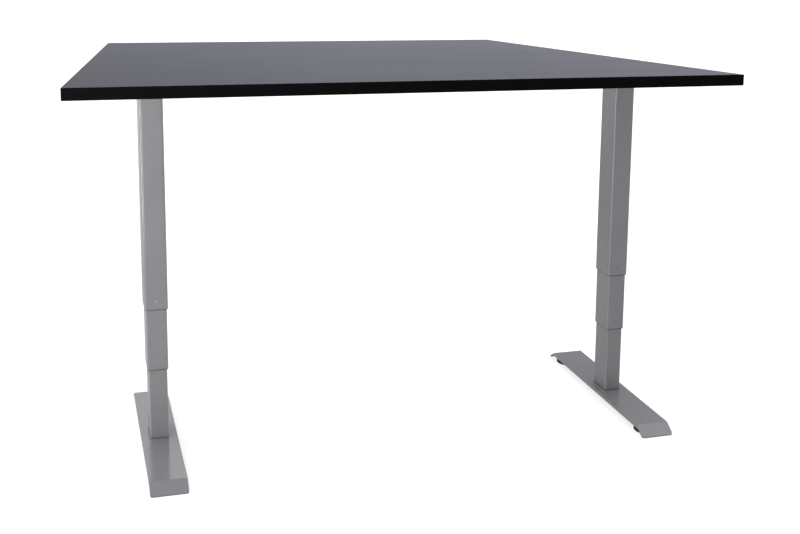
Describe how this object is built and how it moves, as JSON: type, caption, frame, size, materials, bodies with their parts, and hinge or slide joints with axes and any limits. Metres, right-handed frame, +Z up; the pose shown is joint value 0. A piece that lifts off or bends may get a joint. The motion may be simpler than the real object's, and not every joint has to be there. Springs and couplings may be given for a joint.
{
  "type": "height adjustable desk",
  "caption": "Electric standing desk: black trapezoid top on telescopic rectangular columns with flat bent-plate feet; the columns raise and lower the top.",
  "frame": {"origin": "on the floor under the middle of the bounding box", "axes": "+X along the long front edge to the right, +Y from the front edge to the back, +Z up"},
  "size_m": [1.46, 0.922, 0.84],
  "materials": {
    "laminate": "black satin laminate on chipboard",
    "edge_band": "black satin edge band",
    "foot_coat": "semi-gloss silver-grey powder coat",
    "column_coat": "semi-gloss silver-grey powder coat",
    "frame_coat": "semi-gloss silver-grey powder coat",
    "screw_steel": "zinc plated steel",
    "glide_plastic": "black moulded plastic",
    "slide_plastic": "natural moulded plastic",
    "bronze": "machined bronze",
    "spindle_steel": "rolled and ground steel",
    "cast_housing": "die-cast, as cast",
    "motor_coat": "black satin paint",
    "box_plastic": "black textured plastic",
    "inlet_plastic": "black smooth plastic",
    "circuit_board": "solder mask",
    "key_plastic": "grey moulded keys"
  },
  "bodies": {
    "left_foot": {"left_foot_plate": "foot_coat", "left_foot_screws": "screw_steel", "left_lower_tube": "column_coat", "left_lower_guide": "slide_plastic", "left_lower_nut": "bronze"},
    "left_middle": {"left_middle_tube": "column_coat", "left_middle_collar": "glide_plastic", "left_middle_guide": "slide_plastic", "left_middle_collar_screw": "screw_steel", "left_upper_nut": "slide_plastic"},
    "right_middle": {"right_middle_tube": "column_coat", "right_middle_collar": "glide_plastic", "right_middle_guide": "slide_plastic", "right_middle_collar_screw": "screw_steel", "right_upper_nut": "slide_plastic"},
    "right_foot": {"right_foot_plate": "foot_coat", "right_foot_screws": "screw_steel", "right_lower_tube": "column_coat", "right_lower_guide": "slide_plastic", "right_lower_nut": "bronze"},
    "left_rod": {"left_spindle_rod": "spindle_steel", "left_worm_wheel": "bronze"},
    "right_rod": {"right_spindle_rod": "spindle_steel", "right_worm_wheel": "bronze"},
    "left_hollow": {"left_hollow_spindle": "spindle_steel"},
    "right_hollow": {"right_hollow_spindle": "spindle_steel"},
    "left_worm": {"left_worm": "spindle_steel"},
    "right_worm": {"right_worm": "spindle_steel"},
    "left_front_glide": {"left_front_glide": "glide_plastic"},
    "left_rear_glide": {"left_rear_glide": "glide_plastic"},
    "right_front_glide": {"right_front_glide": "glide_plastic"},
    "right_rear_glide": {"right_rear_glide": "glide_plastic"},
    "up_button": {"up_button": "key_plastic"},
    "down_button": {"down_button": "key_plastic"},
    "top": {"tabletop_board": "laminate", "edge_band": "edge_band", "left_upper_tube": "column_coat", "right_upper_tube": "column_coat", "left_upper_collar": "glide_plastic", "right_upper_collar": "glide_plastic", "upper_collar_screws": "screw_steel", "left_gearbox": "cast_housing", "right_gearbox": "cast_housing", "left_motor": "motor_coat", "right_motor": "motor_coat", "spindle_bearings": "spindle_steel", "left_head_plate": "frame_coat", "right_head_plate": "frame_coat", "left_support_arm": "frame_coat", "right_support_arm": "frame_coat", "front_rail": "frame_coat", "rear_rail": "frame_coat", "rail_bolts": "screw_steel", "wood_screws": "screw_steel", "control_box_base": "box_plastic", "control_box_cover": "box_plastic", "control_board": "circuit_board", "mains_inlet": "inlet_plastic", "handset_base": "box_plastic", "handset_cover": "box_plastic"}
  },
  "joints": [
    {"name": "left_middle_slide", "type": "slide", "parent": "left_foot", "child": "left_middle", "axis": [0, 0, 1], "range_m": [-0.135, 0.19]},
    {"name": "desk_lift", "type": "slide", "parent": "left_middle", "child": "top", "axis": [0, 0, 1], "range_m": [-0.135, 0.19]},
    {"name": "right_upper_slide", "type": "slide", "parent": "top", "child": "right_middle", "axis": [0, 0, 1], "range_m": [-0.19, 0.135]},
    {"name": "right_middle_slide", "type": "slide", "parent": "right_middle", "child": "right_foot", "axis": [0, 0, 1], "range_m": [-0.19, 0.135]},
    {"name": "left_rod_spin", "type": "hinge", "parent": "top", "child": "left_rod", "pos_m": [-0.55, -0.169, 0.793], "axis": [0, 0, 1], "continuous": true},
    {"name": "left_hollow_spin", "type": "hinge", "parent": "left_middle", "child": "left_hollow", "pos_m": [-0.55, -0.169, 0.604], "axis": [0, 0, 1], "continuous": true},
    {"name": "left_worm_spin", "type": "hinge", "parent": "top", "child": "left_worm", "pos_m": [-0.55, -0.153, 0.793], "axis": [1, 0, 0], "continuous": true},
    {"name": "left_front_glide_spin", "type": "hinge", "parent": "left_foot", "child": "left_front_glide", "pos_m": [-0.55, -0.411, 0.008], "axis": [0, 0, 1], "continuous": true},
    {"name": "left_rear_glide_spin", "type": "hinge", "parent": "left_foot", "child": "left_rear_glide", "pos_m": [-0.55, 0.073, 0.008], "axis": [0, 0, 1], "continuous": true},
    {"name": "right_rod_spin", "type": "hinge", "parent": "top", "child": "right_rod", "pos_m": [0.55, -0.169, 0.793], "axis": [0, 0, 1], "continuous": true},
    {"name": "right_hollow_spin", "type": "hinge", "parent": "right_middle", "child": "right_hollow", "pos_m": [0.55, -0.169, 0.604], "axis": [0, 0, 1], "continuous": true},
    {"name": "right_worm_spin", "type": "hinge", "parent": "top", "child": "right_worm", "pos_m": [0.55, -0.153, 0.793], "axis": [1, 0, 0], "continuous": true},
    {"name": "right_front_glide_spin", "type": "hinge", "parent": "right_foot", "child": "right_front_glide", "pos_m": [0.55, -0.411, 0.008], "axis": [0, 0, 1], "continuous": true},
    {"name": "right_rear_glide_spin", "type": "hinge", "parent": "right_foot", "child": "right_rear_glide", "pos_m": [0.55, 0.073, 0.008], "axis": [0, 0, 1], "continuous": true},
    {"name": "up_press", "type": "slide", "parent": "top", "child": "up_button", "axis": [0, 1, 0], "range_m": [0, 0.001], "stiffness_N_per_m": 900, "springref_m": -0.0008},
    {"name": "down_press", "type": "slide", "parent": "top", "child": "down_button", "axis": [0, 1, 0], "range_m": [0, 0.001], "stiffness_N_per_m": 900, "springref_m": -0.0008}
  ],
  "couplings": [
    {"joint": "left_middle_slide", "follows": "desk_lift", "ratio": 1},
    {"joint": "right_upper_slide", "follows": "desk_lift", "ratio": -1},
    {"joint": "right_middle_slide", "follows": "desk_lift", "ratio": -1},
    {"joint": "left_rod_spin", "follows": "desk_lift", "rad_per_m": 1047.2},
    {"joint": "left_hollow_spin", "follows": "desk_lift", "rad_per_m": 1047.2},
    {"joint": "left_worm_spin", "follows": "desk_lift", "rad_per_m": 20944},
    {"joint": "right_rod_spin", "follows": "desk_lift", "rad_per_m": 1047.2},
    {"joint": "right_hollow_spin", "follows": "desk_lift", "rad_per_m": 1047.2},
    {"joint": "right_worm_spin", "follows": "desk_lift", "rad_per_m": 20944}
  ]
}
